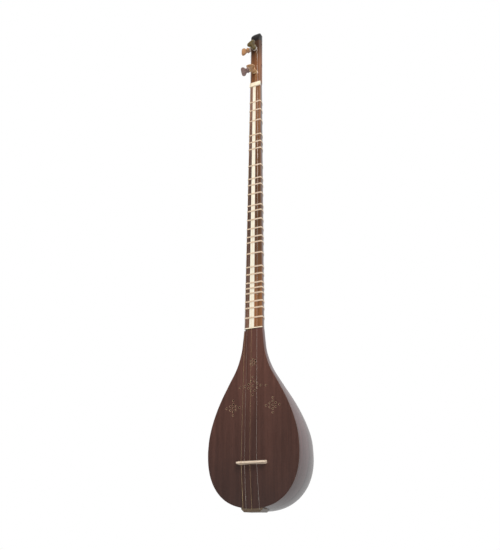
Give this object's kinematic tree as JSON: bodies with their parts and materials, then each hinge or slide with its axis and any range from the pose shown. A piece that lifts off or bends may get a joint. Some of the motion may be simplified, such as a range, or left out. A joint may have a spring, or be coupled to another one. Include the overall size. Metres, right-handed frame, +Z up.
{
  "type": "setar",
  "caption": "Long-necked plucked lute with a pear-shaped bowl of glued ribs, wire strings, turning pegs and sliding tied gut frets.",
  "frame": {"origin": "middle of the flat foot of the tailpiece, the lowest face of the instrument", "axes": "+Z up along the neck to the head, +X to the right of someone who faces the soundboard, +Y towards the back of the bowl"},
  "size_m": [0.1484, 0.1723, 0.8545],
  "materials": {
    "soundboard_wood": "satin lacquer, straight grain",
    "bowl_wood": "gloss lacquer, straight grain",
    "neck_wood": "gloss lacquer",
    "head_wood": "satin lacquer",
    "ebony": "polished",
    "rosewood": "satin",
    "peg_wood": "polished",
    "block_wood": "raw",
    "tailpiece_wood": "satin",
    "bone": "polished bone",
    "gut": "smooth twisted gut",
    "steel_wire": "bright drawn wire",
    "brass_wire": "bright drawn wire"
  },
  "bodies": {
    "instrument": {"soundboard": "soundboard_wood", "bowl_rib_1": "bowl_wood", "bowl_rib_2": "bowl_wood", "bowl_rib_3": "bowl_wood", "bowl_rib_4": "bowl_wood", "bowl_rib_5": "bowl_wood", "bowl_rib_6": "bowl_wood", "bowl_rib_7": "bowl_wood", "bowl_rib_8": "bowl_wood", "bowl_rib_9": "bowl_wood", "neck": "neck_wood", "neck_block": "block_wood", "tail_block": "block_wood", "tailpiece": "tailpiece_wood", "bridge": "bone", "nut": "bone", "head": "head_wood", "head_cap": "ebony", "fingerboard_bone_strip": "bone", "fingerboard_left_strip": "rosewood", "fingerboard_right_strip": "rosewood", "joint_inlay": "bone", "string_1": "steel_wire", "string_2": "brass_wire", "string_3": "steel_wire", "string_4": "brass_wire"},
    "tuner_1": {"peg_1": "peg_wood", "peg_winding_1": "steel_wire"},
    "tuner_2": {"peg_2": "peg_wood", "peg_winding_2": "brass_wire"},
    "tuner_3": {"peg_3": "peg_wood", "peg_winding_3": "steel_wire"},
    "tuner_4": {"peg_4": "peg_wood", "peg_winding_4": "brass_wire"},
    "band_01": {"fret_01": "gut"},
    "band_02": {"fret_02": "gut"},
    "band_03": {"fret_03": "gut"},
    "band_04": {"fret_04": "gut"},
    "band_05": {"fret_05": "gut"},
    "band_06": {"fret_06": "gut"},
    "band_07": {"fret_07": "gut"},
    "band_08": {"fret_08": "gut"},
    "band_09": {"fret_09": "gut"},
    "band_10": {"fret_10": "gut"},
    "band_11": {"fret_11": "gut"},
    "band_12": {"fret_12": "gut"},
    "band_13": {"fret_13": "gut"},
    "band_14": {"fret_14": "gut"},
    "band_15": {"fret_15": "gut"},
    "band_16": {"fret_16": "gut"},
    "band_17": {"fret_17": "gut"},
    "band_18": {"fret_18": "gut"},
    "band_19": {"fret_19": "gut"},
    "band_20": {"fret_20": "gut"},
    "band_21": {"fret_21": "gut"},
    "band_22": {"fret_22": "gut"},
    "band_23": {"fret_23": "gut"},
    "band_24": {"fret_24": "gut"},
    "band_25": {"fret_25": "gut"}
  },
  "joints": [
    {"name": "peg_1_turn", "type": "hinge", "parent": "instrument", "child": "tuner_1", "pos_m": [0, -0.012, 0.8115], "axis": [0, -1, 0], "continuous": true},
    {"name": "peg_2_turn", "type": "hinge", "parent": "instrument", "child": "tuner_2", "pos_m": [-0.0005, -0.012, 0.7595], "axis": [0, -1, 0], "continuous": true},
    {"name": "peg_3_turn", "type": "hinge", "parent": "instrument", "child": "tuner_3", "pos_m": [-0.0104, -0.0045, 0.8215], "axis": [-1, 0, 0], "continuous": true},
    {"name": "peg_4_turn", "type": "hinge", "parent": "instrument", "child": "tuner_4", "pos_m": [-0.0104, -0.0045, 0.7755], "axis": [-1, 0, 0], "continuous": true},
    {"name": "fret_01_slide", "type": "slide", "parent": "instrument", "child": "band_01", "axis": [0, 0, 1], "range_m": [-0.006, 0.006]},
    {"name": "fret_02_slide", "type": "slide", "parent": "instrument", "child": "band_02", "axis": [0, 0, 1], "range_m": [-0.006, 0.006]},
    {"name": "fret_03_slide", "type": "slide", "parent": "instrument", "child": "band_03", "axis": [0, 0, 1], "range_m": [-0.006, 0.006]},
    {"name": "fret_04_slide", "type": "slide", "parent": "instrument", "child": "band_04", "axis": [0, 0, 1], "range_m": [-0.0049, 0.006]},
    {"name": "fret_05_slide", "type": "slide", "parent": "instrument", "child": "band_05", "axis": [0, 0, 1], "range_m": [-0.0046, 0.0049]},
    {"name": "fret_06_slide", "type": "slide", "parent": "instrument", "child": "band_06", "axis": [0, 0, 1], "range_m": [-0.006, 0.0046]},
    {"name": "fret_07_slide", "type": "slide", "parent": "instrument", "child": "band_07", "axis": [0, 0, 1], "range_m": [-0.006, 0.006]},
    {"name": "fret_08_slide", "type": "slide", "parent": "instrument", "child": "band_08", "axis": [0, 0, 1], "range_m": [-0.0038, 0.006]},
    {"name": "fret_09_slide", "type": "slide", "parent": "instrument", "child": "band_09", "axis": [0, 0, 1], "range_m": [-0.006, 0.0038]},
    {"name": "fret_10_slide", "type": "slide", "parent": "instrument", "child": "band_10", "axis": [0, 0, 1], "range_m": [-0.006, 0.006]},
    {"name": "fret_11_slide", "type": "slide", "parent": "instrument", "child": "band_11", "axis": [0, 0, 1], "range_m": [-0.0027, 0.006]},
    {"name": "fret_12_slide", "type": "slide", "parent": "instrument", "child": "band_12", "axis": [0, 0, 1], "range_m": [-0.0058, 0.0027]},
    {"name": "fret_13_slide", "type": "slide", "parent": "instrument", "child": "band_13", "axis": [0, 0, 1], "range_m": [-0.0058, 0.0058]},
    {"name": "fret_14_slide", "type": "slide", "parent": "instrument", "child": "band_14", "axis": [0, 0, 1], "range_m": [-0.005, 0.0058]},
    {"name": "fret_15_slide", "type": "slide", "parent": "instrument", "child": "band_15", "axis": [0, 0, 1], "range_m": [-0.0027, 0.005]},
    {"name": "fret_16_slide", "type": "slide", "parent": "instrument", "child": "band_16", "axis": [0, 0, 1], "range_m": [-0.006, 0.0027]},
    {"name": "fret_17_slide", "type": "slide", "parent": "instrument", "child": "band_17", "axis": [0, 0, 1], "range_m": [-0.006, 0.006]},
    {"name": "fret_18_slide", "type": "slide", "parent": "instrument", "child": "band_18", "axis": [0, 0, 1], "range_m": [-0.004, 0.006]},
    {"name": "fret_19_slide", "type": "slide", "parent": "instrument", "child": "band_19", "axis": [0, 0, 1], "range_m": [-0.005, 0.004]},
    {"name": "fret_20_slide", "type": "slide", "parent": "instrument", "child": "band_20", "axis": [0, 0, 1], "range_m": [-0.0021, 0.005]},
    {"name": "fret_21_slide", "type": "slide", "parent": "instrument", "child": "band_21", "axis": [0, 0, 1], "range_m": [-0.002, 0.0021]},
    {"name": "fret_22_slide", "type": "slide", "parent": "instrument", "child": "band_22", "axis": [0, 0, 1], "range_m": [-0.0045, 0.002]},
    {"name": "fret_23_slide", "type": "slide", "parent": "instrument", "child": "band_23", "axis": [0, 0, 1], "range_m": [-0.003, 0.0045]},
    {"name": "fret_24_slide", "type": "slide", "parent": "instrument", "child": "band_24", "axis": [0, 0, 1], "range_m": [-0.0056, 0.003]},
    {"name": "fret_25_slide", "type": "slide", "parent": "instrument", "child": "band_25", "axis": [0, 0, 1], "range_m": [-0.006, 0.0056]}
  ]
}
